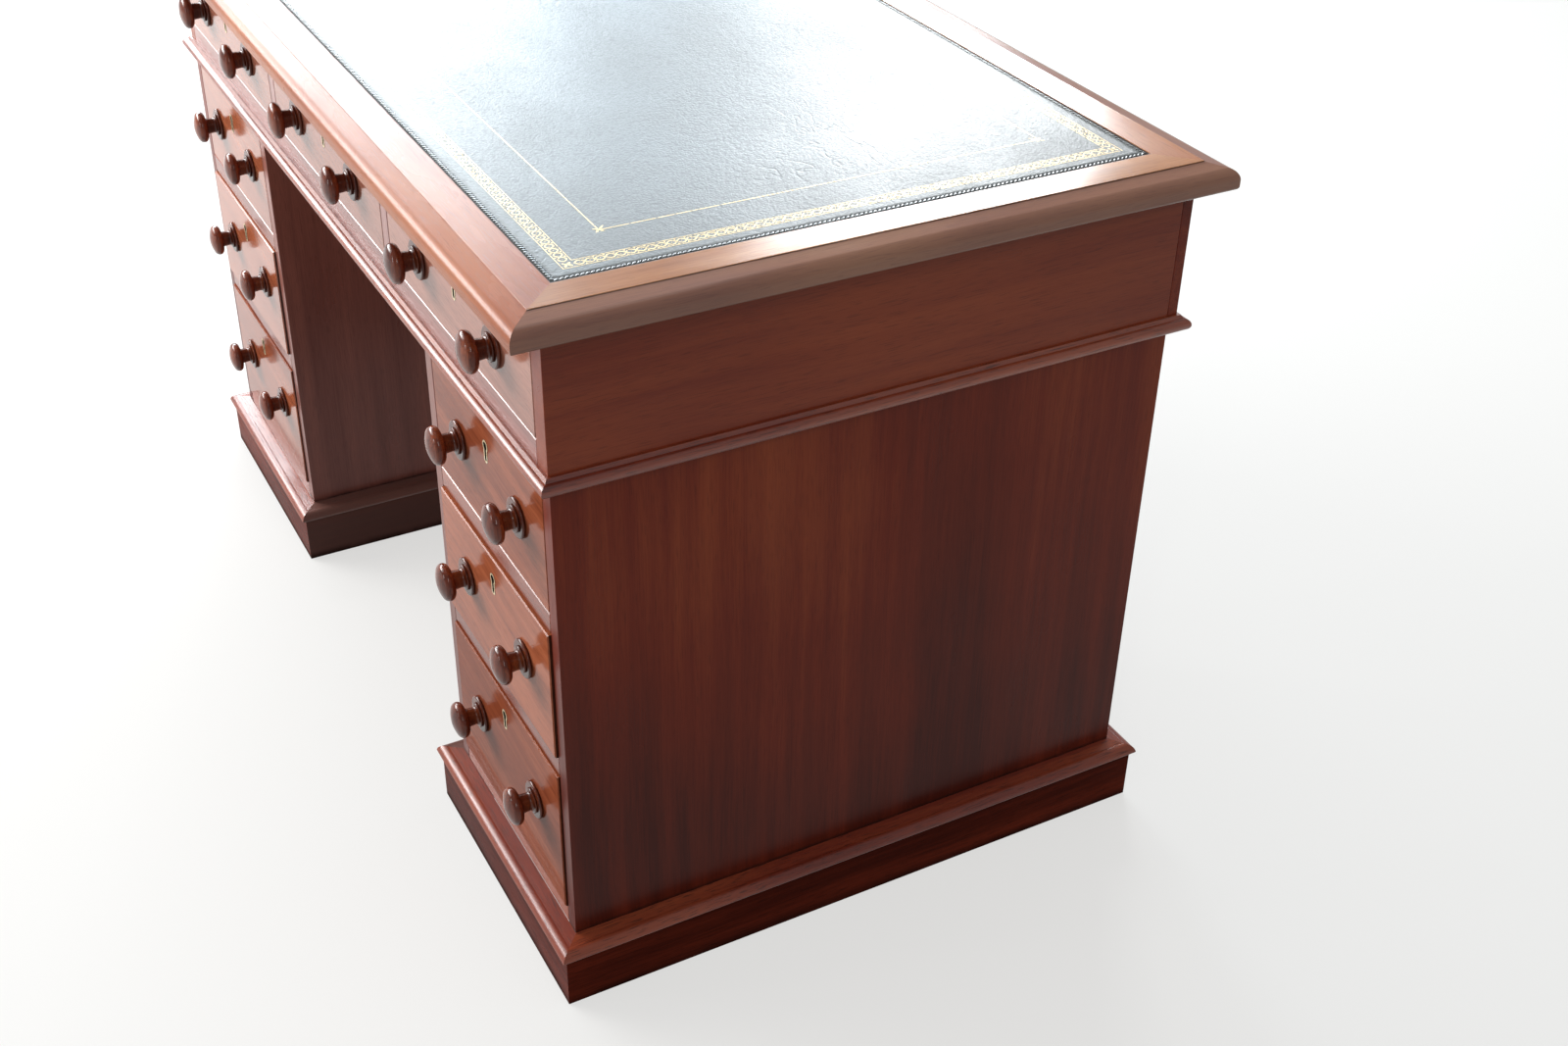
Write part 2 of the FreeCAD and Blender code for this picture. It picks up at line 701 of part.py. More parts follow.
def make_drawers():
    stops = []
    for side, x in (("left", "-frieze_pitch"), ("middle", "0"), ("right", "frieze_pitch")):
        stops += make_drawer(
            side + "_frieze_drawer", x, "frieze_opening_width", "frieze_floor", "frieze_ceiling",
            "frieze_front", "frieze_back_face", "0", "frieze_knob_spacing", "0",
        )
    prouds = {"upper": "0", "middle": "middle_proud", "lower": "lower_proud"}
    for side, x in (("left", "-pedestal_centre"), ("right", "pedestal_centre")):
        for row, proud in prouds.items():
            stops += make_drawer(
                f"{side}_{row}_drawer", x, "pedestal_opening_width", row + "_floor", row + "_ceiling",
                "pedestal_front", "pedestal_back_face", proud, "pedestal_knob_spacing", row + "_knob_rise",
            )
    node("drawer_stops", *stops)


make_top()
make_frieze()
make_pedestals()
make_drawers()
doc.recompute()

for item in doc.Objects:
    if "Invalid" in item.State or "Error" in item.State:
        raise RuntimeError(f"{item.Label} failed: {item.State}")
for item in nodes:
    if item.Shape.isNull() or not item.Shape.isValid():
        raise RuntimeError(f"{item.Label} has no valid shape")

os.makedirs("parts", exist_ok=True)
for item in nodes:
    item.Shape.exportStep(f"parts/{item.Label}.step")
print(f"{len(nodes)} sub-parts, {sum(len(item.Shape.Solids) for item in nodes)} solids")
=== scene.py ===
import json
import math

import bmesh
import bpy
from mathutils import Matrix, Vector, noise


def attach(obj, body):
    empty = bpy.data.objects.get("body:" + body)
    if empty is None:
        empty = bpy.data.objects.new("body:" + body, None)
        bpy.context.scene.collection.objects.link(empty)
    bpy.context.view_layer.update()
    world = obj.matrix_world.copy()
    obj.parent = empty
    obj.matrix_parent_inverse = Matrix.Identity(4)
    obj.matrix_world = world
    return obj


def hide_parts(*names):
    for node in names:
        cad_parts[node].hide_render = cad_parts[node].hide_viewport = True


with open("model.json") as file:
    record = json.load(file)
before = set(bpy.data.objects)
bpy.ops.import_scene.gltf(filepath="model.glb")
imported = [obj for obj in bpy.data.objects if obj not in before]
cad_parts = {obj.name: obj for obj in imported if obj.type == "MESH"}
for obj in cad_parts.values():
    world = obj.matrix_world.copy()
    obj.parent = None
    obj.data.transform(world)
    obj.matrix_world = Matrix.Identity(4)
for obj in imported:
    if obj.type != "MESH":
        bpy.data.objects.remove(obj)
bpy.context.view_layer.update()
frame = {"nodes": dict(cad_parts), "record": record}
nodes = frame["nodes"]
bodyOf = {node: body for body, members in frame["record"]["behaviour"]["bodies"].items() for node in members}
drawers = sorted(name[:-6] for name in nodes if name.endswith("_front") and name != "top_border_front")
print("frame:", len(nodes), "nodes,", len(drawers), "drawers")


class Socket:  # a shader output that takes part in sums
    def __init__(self, finish, out):
        self.finish = finish
        self.out = out

    def calc(self, operation, *values):
        return self.finish.node("Math", {"operation": operation}, dict(enumerate(values)))

    def __add__(self, other):
        return self.calc("ADD", self, other)

    def __radd__(self, other):
        return self.calc("ADD", other, self)

    def __sub__(self, other):
        return self.calc("SUBTRACT", self, other)

    def __rsub__(self, other):
        return self.calc("SUBTRACT", other, self)

    def __mul__(self, other):
        return self.calc("MULTIPLY", self, other)

    def __rmul__(self, other):
        return self.calc("MULTIPLY", other, self)

    def __truediv__(self, other):
        return self.calc("DIVIDE", self, other)

    def __mod__(self, other):
        return self.calc("FLOORED_MODULO", self, other)

    def __abs__(self):
        return self.calc("ABSOLUTE", self)

    def above(self, edge):
        return self.calc("GREATER_THAN", self, edge)

    def most(self, other):
        return self.calc("MAXIMUM", self, other)

    def least(self, other):
        return self.calc("MINIMUM", self, other)

    def ease(self, low, high):  # 0 up to low, 1 from high, smooth between
        spans = {"Value": self, "From Min": low, "From Max": high}
        return self.finish.node("MapRange", {"interpolation_type": "SMOOTHSTEP"}, spans)


class Finish:  # one material and the nodes that make it
    def __init__(self, name):
        self.material = bpy.data.materials.new(name)
        self.material.use_nodes = True
        self.tree = self.material.node_tree
        self.tree.nodes.clear()
        self.place = None

    def node(self, kind, settings=None, inputs=None, output=0):
        made = self.tree.nodes.new("ShaderNode" + kind)
        for key, value in (settings or {}).items():
            if key == "stops":
                stops = made.color_ramp.elements
                while len(stops) < len(value):
                    stops.new(1)
                for stop, (position, colour) in zip(stops, value):
                    stop.position = position
                    stop.color = (*colour, 1)
            else:
                setattr(made, key, value)
        for key, value in (inputs or {}).items():
            if isinstance(value, Socket):
                self.tree.links.new(value.out, made.inputs[key])
            else:
                made.inputs[key].default_value = value
        return Socket(self, made.outputs[output]) if made.outputs else None

    def position(self):  # where the point is at rest, in metres
        if self.place is None:
            spot = self.node("TexCoord", output="Object")
            self.place = [self.node("SeparateXYZ", {}, {0: spot}, axis) for axis in "XYZ"]
        return self.place

    def facing(self):
        normal = self.node("NewGeometry", output="Normal")
        turned = {"vector_type": "NORMAL", "convert_from": "WORLD", "convert_to": "OBJECT"}
        own = self.node("VectorTransform", turned, {0: normal})
        return [self.node("SeparateXYZ", {}, {0: own}, axis) for axis in "XYZ"]

    def noise(self, x, y, z, detail=2.0, rough=0.5, twist=0.0):
        spot = self.node("CombineXYZ", {}, {0: x, 1: y, 2: z})
        levels = {"Vector": spot, "Scale": 1.0, "Detail": detail, "Roughness": rough, "Distortion": twist}
        return self.node("TexNoise", {}, levels)

    def cells(self, x, y, z):
        spot = self.node("CombineXYZ", {}, {0: x, 1: y, 2: z})
        return self.node("TexVoronoi", {}, {"Vector": spot, "Scale": 1.0})

    def mix(self, share, first, second):
        def colour(value):
            return value if isinstance(value, Socket) else (*value, 1)
        sockets = {0: share, 6: colour(first), 7: colour(second)}
        return self.node("Mix", {"data_type": "RGBA"}, sockets, 2)

    def relief(self, height):  # height in metres
        return self.node("Bump", {}, {"Strength": 1.0, "Distance": 1.0, "Height": height})

    def surface(self, fixed, **varying):
        names = {"colour": "Base Color", "roughness": "Roughness", "metal": "Metallic", "normal": "Normal"}
        sockets = dict(fixed)
        sockets.update({names[key]: value for key, value in varying.items()})
        shader = self.node("BsdfPrincipled", {}, sockets)
        self.node("OutputMaterial", {}, {0: shader})
        return self.material


# Wood: colours are written for plain light, grain counts are per metre
mahogany = {
    "dark": (0.064, 0.0085, 0.0042),
    "mid": (0.170, 0.0235, 0.0100),
    "light": (0.300, 0.062, 0.0220),
    "pore": (0.030, 0.0050, 0.0030),
    # colour of painted shade in corners and on the drawers' side edges, and of the dark dovetail seams
    "grime": (0.010, 0.0035, 0.0025),
    "ribbons": 17.0,
    "lines": 105.0,
    "fibres": 640.0,
    "pores": 1350.0,
    "bend": (1.4, 4.5),  # along and across the grain, as in the pairs below
    "wander": 0.030,
    "slant": 0.0,
    "runs": {"ribbon": 0.9, "line": 1.8, "fibre": 14, "pore": 52},  # the same features along the grain
    "shares": {"ribbon": 0.95, "line": 0.60, "fibre": 0.30},
    "contrast": 1.0,
    "patchScale": 3.3,
    "patches": 0.35,
    "poreEdge": (0.60, 0.72),
    "poreShare": 0.62,
    "poreDepth": 0.000016,
    "fibreHeight": 0.000004,
    "tone": 0.0,
    "stops": (0.26, 0.50, 0.76),  # tones of the dark, mid and light colours
    "roughness": 0.17,
    "smearScale": (5, 19),
    "smears": 0.10,
    "rippleScale": 21,
    "ripple": 0.00005,
    "shine": 0.5,
    "seed": 0.0,
    "seedShare": 0.37,  # so that the grain shifts both along and across
    "foot": None,  # lowest and highest point of painted shade that darkens the foot, and its depth
}

woodLooks = {
    "drawerFronts": {"dark": (0.195, 0.045, 0.019), "mid": (0.360, 0.100, 0.044),
                     "light": (0.500, 0.170, 0.075), "wander": 0.060, "slant": 0.10, "contrast": 0.6,
                     "poreShare": 0.35, "roughness": 0.11, "shine": 0.1, "seed": 3.1},
    "rails": {"dark": (0.120, 0.022, 0.012), "mid": (0.250, 0.058, 0.031), "light": (0.360, 0.100, 0.050),
              "contrast": 0.7, "poreShare": 0.25, "shine": 0.38, "seed": 5.7},
    "pedestalSides": {"shine": 0.13, "roughness": 0.30, "contrast": 0.55, "tone": 0.055, "seed": 8.3,
                      "ribbons": 11.0, "lines": 62.0, "poreShare": 0.25, "foot": (0.05, 0.62, 0.1875)},
    "friezeEnds": {"shine": 0.22, "roughness": 0.30, "contrast": 0.36, "tone": 0.16, "ribbons": 22.0,
                   "lines": 80.0, "poreShare": 0.3, "seed": 11.9},
    "backs": {"shine": 0.16, "roughness": 0.34, "contrast": 0.6, "tone": -0.02, "seed": 14.2},
    "topBorder": {"dark": (0.140, 0.040, 0.016), "mid": (0.340, 0.122, 0.058), "light": (0.51, 0.225, 0.098),
                  "contrast": 0.32, "poreShare": 0.25, "roughness": 0.20, "patches": 0.6, "shine": 0.36,
                  "seed": 17.4},
    "bead": {"tone": 0.16, "roughness": 0.32, "shine": 0.75, "contrast": 0.7, "seed": 20.8},
    "plinth": {"tone": -0.17, "shine": 0.01, "roughness": 0.28, "contrast": 0.6, "seed": 23.5},
    "plinthCap": {"tone": 0.10, "roughness": 0.30, "contrast": 0.6, "shine": 0.5, "seed": 26.1},
    "knobs": {"dark": (0.060, 0.0120, 0.0060), "mid": (0.145, 0.0270, 0.0105), "light": (0.310, 0.072, 0.022),
              "roughness": 0.13, "ripple": 0.0, "lines": 160.0, "ribbons": 40.0, "shine": 0.32, "seed": 29.6},
}


def straightGrain(axis):
    def axes(finish):
        x, y, z = finish.position()
        return {"x": (x, z, y), "y": (y, z, x), "z": (z, y, x)}[axis]
    return axes


def roundGrain(middleX, middleY, halfX, halfY):  # lengths mitred round a rectangle
    def axes(finish):
        x, y, z = finish.position()
        past = abs(abs(x) - middleX) - halfX if middleX else abs(x) - halfX
        end = past.above(abs(y - middleY) - halfY)
        return x + (y - x) * end, z, y + (x - y) * end
    return axes


def frameGrain(centre, half, low, high):  # rails along x, dividers upright
    def axes(finish):
        x, y, z = finish.position()
        upright = (half - abs(abs(x) - centre)).above(0) * z.above(low) * (high - z).above(0)
        return x + (z - x) * upright, z + (x - z) * upright, y
    return axes


def lineAt(value, place, width):  # 1 on a line, fading to 0 over width
    return abs(value - place).ease(width, 0.0)


def polishedWood(name, lookName, axes, extra=None, **changes):
    look = {**mahogany, **woodLooks[lookName], **changes}
    finish = Finish(name)
    x, y, z = finish.position()
    along, across, deep = axes(finish)
    run, wide = look["bend"]
    runs, shares = look["runs"], look["shares"]
    along = along + look["seed"]
    across = across + look["seed"] * look["seedShare"]
    bend = finish.noise(along * run, across * wide, deep * wide, 2.0) - 0.5
    across = across + bend * look["wander"] + along * look["slant"]
    deep = deep + bend * look["wander"]
    ribbon = finish.noise(along * runs["ribbon"], across * look["ribbons"], deep * look["ribbons"], 2.0, 0.55)
    line = finish.noise(along * runs["line"], across * look["lines"], deep * look["lines"], 3.0, 0.6)
    fibre = finish.noise(along * runs["fibre"], across * look["fibres"], deep * look["fibres"], 2.0)
    pore = finish.noise(along * runs["pore"], across * look["pores"], deep * look["pores"], 0.0)
    pore = pore.ease(*look["poreEdge"]) * look["poreShare"]
    patches = look["patchScale"]
    patch = finish.noise(x * patches + look["seed"], y * patches, z * patches, 2.0)
    tone = (ribbon - 0.5) * shares["ribbon"] + (line - 0.5) * shares["line"]
    tone = tone + (fibre - 0.5) * shares["fibre"]
    tone = tone * look["contrast"] + (patch - 0.5) * look["patches"] + (0.5 + look["tone"])
    if look["foot"]:  # painted shade: the lower part is darker, where less light reaches it
        low, high, depth = look["foot"]
        tone = tone - z.ease(high, low) * depth
    stops = list(zip(look["stops"], (look["dark"], look["mid"], look["light"])))
    colour = finish.node("ValToRGB", {"stops": stops}, {0: tone})
    colour = finish.mix(pore, colour, look["pore"])
    height = fibre * look["fibreHeight"] - pore * look["poreDepth"]
    if look["ripple"]:
        waves = look["rippleScale"]
        height = height + finish.noise(x * waves, y * waves, z * waves, 1.0) * look["ripple"]
    run, wide = look["smearScale"]
    smear = finish.noise(along * run, across * wide, deep * wide, 3.0, 0.6)
    roughness = look["roughness"] + (smear - 0.5) * look["smears"] * 2 + pore * 0.10
    if extra:
        colour, roughness, height = extra(finish, look, colour, roughness, height)
    fixed = {"Specular IOR Level": look["shine"], "IOR": 1.5}
    return finish.surface(fixed, colour=colour, roughness=roughness, normal=finish.relief(height))


# Painted shade along corners, made uneven by noise, with a little more roughness there
cornerShadeLook = {"scale": 40, "edge": (0.30, 0.62), "least": 0.55, "share": 0.85, "roughness": 0.25}


def withCornerShade(*lines):  # painted shade in the corners: (axis, place, width)
    def extra(finish, look, colour, roughness, height):
        spot = dict(zip("xyz", finish.position()))
        grime = None
        for axis, place, width in lines:
            value = abs(spot[axis]) if axis != "z" else spot[axis]
            mark = lineAt(value, place, width)
            grime = mark if grime is None else grime.most(mark)
        uneven = finish.noise(*(spot[axis] * cornerShadeLook["scale"] for axis in "xyz"), 2.0).ease(*cornerShadeLook["edge"])
        grime = grime * (cornerShadeLook["least"] + uneven * (1 - cornerShadeLook["least"]))
        colour = finish.mix(grime * cornerShadeLook["share"], colour, look["grime"])
        return colour, roughness + grime * cornerShadeLook["roughness"], height
    return extra


# Lining: the pale, unpolished wood of the drawer boxes and the hidden framing
lining = {
    "dark": (0.165, 0.088, 0.040),
    "mid": (0.315, 0.185, 0.092),
    "light": (0.430, 0.275, 0.150),
    "stain": (0.090, 0.050, 0.026),
    "stops": (0.28, 0.5, 0.74),
    "bend": (1.7, 6),
    "wander": 0.03,
    "rings": (0.9, 70),
    "ringShare": 0.9,
    "fibres": (16, 520),
    "fibreShare": 0.45,
    "fibreHeight": 0.00003,
    "stainScale": 7,
    "stainEdge": (0.52, 0.75),
    "stainShare": 0.55,
    "roughness": 0.58,
    "unevenness": 0.2,
    "shine": 0.3,
}


def liningColour(finish, along, across, deep):
    def grain(key, *detail):
        run, wide = lining[key]
        return finish.noise(along * run, across * wide, deep * wide, *detail)

    across = across + (grain("bend", 2.0) - 0.5) * lining["wander"]
    ring = grain("rings", 3.0, 0.6)
    fibre = grain("fibres", 2.0)
    tone = 0.5 + (ring - 0.5) * lining["ringShare"] + (fibre - 0.5) * lining["fibreShare"]
    stops = list(zip(lining["stops"], (lining["dark"], lining["mid"], lining["light"])))
    colour = finish.node("ValToRGB", {"stops": stops}, {0: tone})
    stain = finish.noise(*(value * lining["stainScale"] for value in finish.position()), 3.0, 0.6)
    stain = stain.ease(*lining["stainEdge"]) * lining["stainShare"]
    return finish.mix(stain, colour, lining["stain"]), fibre


def liningWood(name, axes):
    finish = Finish(name)
    colour, fibre = liningColour(finish, *axes(finish))
    roughness = lining["roughness"] + (fibre - 0.5) * lining["unevenness"]
    return finish.surface({"Specular IOR Level": lining["shine"]}, colour=colour, roughness=roughness,
                          normal=finish.relief(fibre * lining["fibreHeight"]))


# Dovetails: tails of the box sides show in the edges of each front
dovetail = {"pitch": 0.031, "narrow": 0.27, "flare": 0.12, "lap": 0.006, "front": 0.022, "blur": 0.008,
            "seam": 0.03, "base": 0.05, "end": 1.03, "dirtAndShade": 0.85, "roughness": 0.3}


def withDovetails(face, floor):
    def extra(finish, look, colour, roughness, height):
        x, y, z = finish.position()
        side = abs(finish.facing()[0]).above(0.9)
        depth = (face + dovetail["front"] - y) / (dovetail["front"] - dovetail["lap"])
        across = abs((z - floor) / dovetail["pitch"] % 1.0 - 0.5)
        edge = dovetail["narrow"] + depth * dovetail["flare"] - across
        tail = edge.ease(-dovetail["blur"], dovetail["blur"]) * (1 - depth).above(0) * side
        seam = lineAt(edge, 0.0, dovetail["seam"]).most(lineAt(depth, 1.0, dovetail["base"]))
        seam = seam * side * (dovetail["end"] - depth).above(0)
        pale, _ = liningColour(finish, y, z, x)
        colour = finish.mix(tail, colour, pale)
        lap = side * depth.above(1.0)  # painted shadow: the side edge behind the show face is darkened, as shade in the opening beside the front
        colour = finish.mix(seam.most(lap) * dovetail["dirtAndShade"], colour, look["grime"])
        return colour, roughness + side * dovetail["roughness"], height
    return extra


print("wood finishes ready")


def paint(node, material):
    slots = nodes[node].data.materials
    slots.clear()
    slots.append(material)


meshing = {"weld": 0.00001, "places": 5, "crease": math.radians(40)}


def solidBoxes(node):  # the box of each separate solid in a node
    mesh = nodes[node].data
    keys = [tuple(round(c, meshing["places"]) for c in vertex.co) for vertex in mesh.vertices]
    leader = {key: key for key in keys}

    def find(key):
        while leader[key] != key:
            leader[key] = leader[leader[key]]
            key = leader[key]
        return key

    for polygon in mesh.polygons:
        first = find(keys[polygon.vertices[0]])
        for vertex in polygon.vertices[1:]:
            leader[find(keys[vertex])] = first
    groups = {}
    for key in leader:
        groups.setdefault(find(key), []).append(key)
    corners = [(Vector(map(min, zip(*points))), Vector(map(max, zip(*points)))) for points in groups.values()]
    return sorted(corners, key=lambda pair: tuple(pair[0]))


def meshPiece(name, bm, material, body, smooth=True):
    mesh = bpy.data.meshes.new(name)
    bm.normal_update()
    bm.to_mesh(mesh)
    bm.free()
    mesh.materials.append(material)
    for polygon in mesh.polygons:
        polygon.use_smooth = smooth
    piece = bpy.data.objects.new(name, mesh)
    bpy.context.scene.collection.objects.link(piece)
    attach(piece, body)
    return piece


def wornPiece(node, bm, material):
    for edge in bm.edges:
        edge.smooth = edge.calc_face_angle(0.0) < meshing["crease"]
    piece = meshPiece(node + "_eased", bm, material, bodyOf[node])
    keep = piece.modifiers.new("flat faces stay flat", "WEIGHTED_NORMAL")
    keep.keep_sharp = True
    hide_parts(node)


def easedBoards(node, material, radius, steps=3):  # boards with softened edges in place of sharp ones
    bm = bmesh.new()
    for low, high in solidBoxes(node):
        size = high - low
        place = Matrix.Translation((low + high) / 2) @ Matrix.Diagonal((*size, 1))
        bmesh.ops.create_cube(bm, size=1, matrix=place)
    bmesh.ops.bevel(bm, geom=list(bm.edges), offset=radius, offset_type="OFFSET", segments=steps, profile=0.5,
                    affect="EDGES", clamp_overlap=True)
    wornPiece(node, bm, material)


def meshOf(node):
    bm = bmesh.new()
    bm.from_mesh(nodes[node].data)
    bmesh.ops.remove_doubles(bm, verts=bm.verts, dist=meshing["weld"])
    return bm


def easedFront(node, material, width):  # the four edges of the show face are planed off
    bm = meshOf(node)
    low, high = (Vector(pick(v.co[axis] for v in bm.verts) for axis in range(3)) for pick in (min, max))
    for axis, edge, way in ((0, low, -1), (0, high, 1), (2, low, -1), (2, high, 1)):
        place = Vector((edge.x, low.y + width, edge.z))
        normal = Vector((0, -1, 0))
        normal[axis] = way
        parts = [*bm.verts, *bm.edges, *bm.faces]
        cut = bmesh.ops.bisect_plane(bm, geom=parts, plane_co=place, plane_no=normal, clear_outer=True)
        rim = [part for part in cut["geom_cut"] if isinstance(part, bmesh.types.BMEdge)]
        bmesh.ops.edgenet_fill(bm, edges=rim)
        bmesh.ops.remove_doubles(bm, verts=bm.verts, dist=meshing["weld"])
    wornPiece(node, bm, material)


def easedEdges(node, material, width, pick):  # the CAD shape with the picked edges worn off
    bm = meshOf(node)
    bmesh.ops.bevel(bm, geom=pick(bm), offset=width, offset_type="OFFSET", segments=1, affect="EDGES",
                    clamp_overlap=True)
    wornPiece(node, bm, material)


# Carcass
carcass = {"edge": 0.0010, "railEdge": 0.0011, "frameEdge": 0.0007, "frontEdge": 0.0012}
shadedCorners = {  # painted shade lines: axis, place and width
    "floor": ("z", 0.0, 0.012),
    "capTop": ("z", 0.074, 0.006),
    "beadLow": ("z", 0.5935, 0.004),
    "friezeTop": ("z", 0.745, 0.006),
}
dividers = {"centre": 0.1945, "half": 0.0096, "low": 0.6335, "high": 0.7235}

friezeEnd = polishedWood("frieze end mahogany", "friezeEnds", straightGrain("y"),
                         withCornerShade(shadedCorners["friezeTop"]))
pedestalSide = polishedWood("pedestal side mahogany", "pedestalSides", straightGrain("z"),
                            withCornerShade(shadedCorners["capTop"], shadedCorners["beadLow"]))
# Painted sheen: a paler, greyer copy of the side finish for the faces in the kneehole
innerSideWithSheen = polishedWood("pedestal inner side mahogany", "pedestalSides", straightGrain("z"),
                         withCornerShade(shadedCorners["capTop"]), tone=0.14, shine=0.3, seed=9.4,
                         mid=(0.165, 0.053, 0.040), light=(0.285, 0.096, 0.068))
backWood = polishedWood("back mahogany", "backs", straightGrain("x"))
pedestalBack = polishedWood("pedestal back mahogany", "backs", straightGrain("z"), seed=15.8)
# Painted sheen: the face frame's colours are paler and greyer pink, standing in for reflected light
frameWoodWithSheen = polishedWood("face frame mahogany", "rails", frameGrain(**dividers),
                         dark=(0.150, 0.042, 0.034), mid=(0.300, 0.108, 0.088), light=(0.420, 0.170, 0.140),
                         shine=0.42, ripple=0.0, smears=0.04)
railWood = polishedWood("rail mahogany", "rails", straightGrain("x"), seed=6.9)

for side in ("left", "right"):
    easedBoards(f"frieze_end_{side}", friezeEnd, carcass["edge"])
    easedBoards(f"{side}_pedestal_outer_side", pedestalSide, carcass["edge"])
    easedBoards(f"{side}_pedestal_inner_side", innerSideWithSheen, carcass["edge"])
easedBoards("frieze_back", backWood, carcass["edge"])
easedBoards("pedestal_backs", pedestalBack, carcass["railEdge"])
easedBoards("frieze_face_frame", frameWoodWithSheen, carcass["frameEdge"], 1)
easedBoards("pedestal_rails", railWood, carcass["railEdge"], 1)
easedBoards("pedestal_boards", railWood, carcass["railEdge"])

bead = {"middleX": 0, "middleY": 0.0045, "halfX": 0.597, "halfY": 0.330}
beadWood = polishedWood("bead mahogany", "bead", roundGrain(**bead))
# the kneehole colour and its share give painted shade on the lengths that face the kneehole
pedestal = {"middleX": 0.4385, "middleY": 0.0005, "halfX": 0.1575, "halfY": 0.325,
            "kneehole": (0.125, 0.070, 0.060), "shadeShare": 0.8}


def withKneeholeShade(more=None):  # painted shade: the lengths that face the kneehole are darker
    def extra(finish, look, colour, roughness, height):
        x, y, z = finish.position()
        inward = pedestal["middleX"] - abs(x) - pedestal["halfX"]
        dark = inward.above(abs(y - pedestal["middleY"]) - pedestal["halfY"])
        dark = dark * (inward + pedestal["halfX"]).above(0)
        colour = finish.mix(dark * pedestal["shadeShare"], colour, pedestal["kneehole"])
        return more(finish, look, colour, roughness, height) if more else (colour, roughness, height)
    return extra


plinthGrain = roundGrain(*(pedestal[key] for key in ("middleX", "middleY", "halfX", "halfY")))
plinthWood = polishedWood("plinth mahogany", "plinth", plinthGrain,
                          withKneeholeShade(withCornerShade(shadedCorners["floor"])))
capWood = polishedWood("plinth cap mahogany", "plinthCap", plinthGrain, withKneeholeShade())
paint("bead_moulding", beadWood)
paint("plinth_boards", plinthWood)
paint("plinth_mouldings", capWood)
print("carcass dressed")

# Top border: paler from the light, with painted shade in the quirk beside the thumb moulding
border = {"quirkX": 0.601, "quirkY": 0.3365, "leatherX": 0.566, "leatherY": 0.3015, "top": 0.770,
          "edge": 0.0005, "slack": 0.00005, "leatherShadeWidth": 0.0016, "quirkMiddle": 0.0004, "quirkShadeWidth": 0.0009}
borderLengths = {  # grain, and each length's own tones: sun-bleached, with the right length also painted paler as painted light
    "front": ("x", {"mid": (0.330, 0.104, 0.050), "light": (0.47, 0.185, 0.090), "shine": 0.11,
                    "roughness": 0.27, "seed": 17.4}),
    "back": ("x", {"seed": 19.3}),
    "left": ("y", {"seed": 21.2}),
    "right": ("y", {"mid": (0.440, 0.192, 0.082), "light": (0.61, 0.320, 0.145), "shine": 0.33,
                    "seed": 23.1}),
}
thumb = {"colour": (0.205, 0.108, 0.104), "share": 0.55}


def quirkEdges(bm):
    def near(value, place):
        return abs(abs(value) - place) < border["slack"]

    def onQuirk(vertex):
        x, y, z = vertex.co
        return (near(x, border["quirkX"]) or near(y, border["quirkY"])) and near(z, border["top"])

    return [edge for edge in bm.edges if onQuirk(edge.verts[0]) and onQuirk(edge.verts[1])]


def withThumb(own, shadedLines):  # the moulding is browner than the flat, with painted shade in the corners named
    cornerShade = withCornerShade(*shadedLines)

    def extra(finish, look, colour, roughness, height):
        spot = dict(zip("xyz", finish.position()))
        outside = abs(spot[own]).above(border["quirk" + own.upper()])
        colour = finish.mix(outside * thumb["share"], colour, thumb["colour"])
        return cornerShade(finish, look, colour, roughness, height)
    return extra


for side, (axis, changes) in borderLengths.items():
    own = "y" if axis == "x" else "x"
    besideLeather = (own, border["leather" + own.upper()], border["leatherShadeWidth"])
    inQuirk = (own, border["quirk" + own.upper()] + border["quirkMiddle"], border["quirkShadeWidth"])
    if side == "front":
        extra = withCornerShade(besideLeather)
    elif side == "back":
        extra = withThumb(own, [inQuirk])
    else:
        extra = withThumb(own, [besideLeather, inQuirk])
    material = polishedWood(f"top border mahogany {side}", "topBorder", straightGrain(axis), extra, **changes)
    easedEdges(f"top_border_{side}", material, border["edge"], quirkEdges)
print("top border dressed")

# Drawers
rows = {  # plane of the show face and underside of the front
    "frieze": (-0.3255, 0.6338),
    "upper": (-0.3245, 0.4548),
    "middle": (-0.3277, 0.2873),
    "lower": (-0.3268, 0.0948),
}
# Painted sheen: the frieze fronts are paler and greyer pink, standing in for reflected light
sheenTones = {"dark": (0.200, 0.062, 0.036), "mid": (0.350, 0.130, 0.084), "light": (0.480, 0.210, 0.140),
         "shine": 0.4}
frontLooks = {  # each front is a board of its own; the lower fronts are darker as painted shade, the frieze fronts paler as painted sheen
    "left_frieze_drawer": sheenTones,
    "middle_frieze_drawer": sheenTones,
    "right_frieze_drawer": sheenTones,
    "left_upper_drawer": {"tone": -0.05, "shine": 0.42},
    "left_middle_drawer": {"tone": -0.06, "shine": 0.42},
    "left_lower_drawer": {"tone": -0.20, "shine": 0.20},
    "right_upper_drawer": {"tone": -0.10, "shine": 0.08},
    "right_middle_drawer": {"tone": 0.0, "shine": 0.09},
    "right_lower_drawer": {"tone": -0.26, "shine": 0.03},
}


frontSeed = {"first": 3.1, "step": 2.3}


def frontWood(name, row):
    seed = frontSeed["first"] + frontSeed["step"] * drawers.index(name)
    return polishedWood(f"{name} mahogany", "drawerFronts", straightGrain("x"), withDovetails(*rows[row]),
                        seed=seed, **frontLooks[name])


knobNeckShade = {"reach": (-0.345, -0.337), "shadeShare": 0.4, "roughness": 0.02}


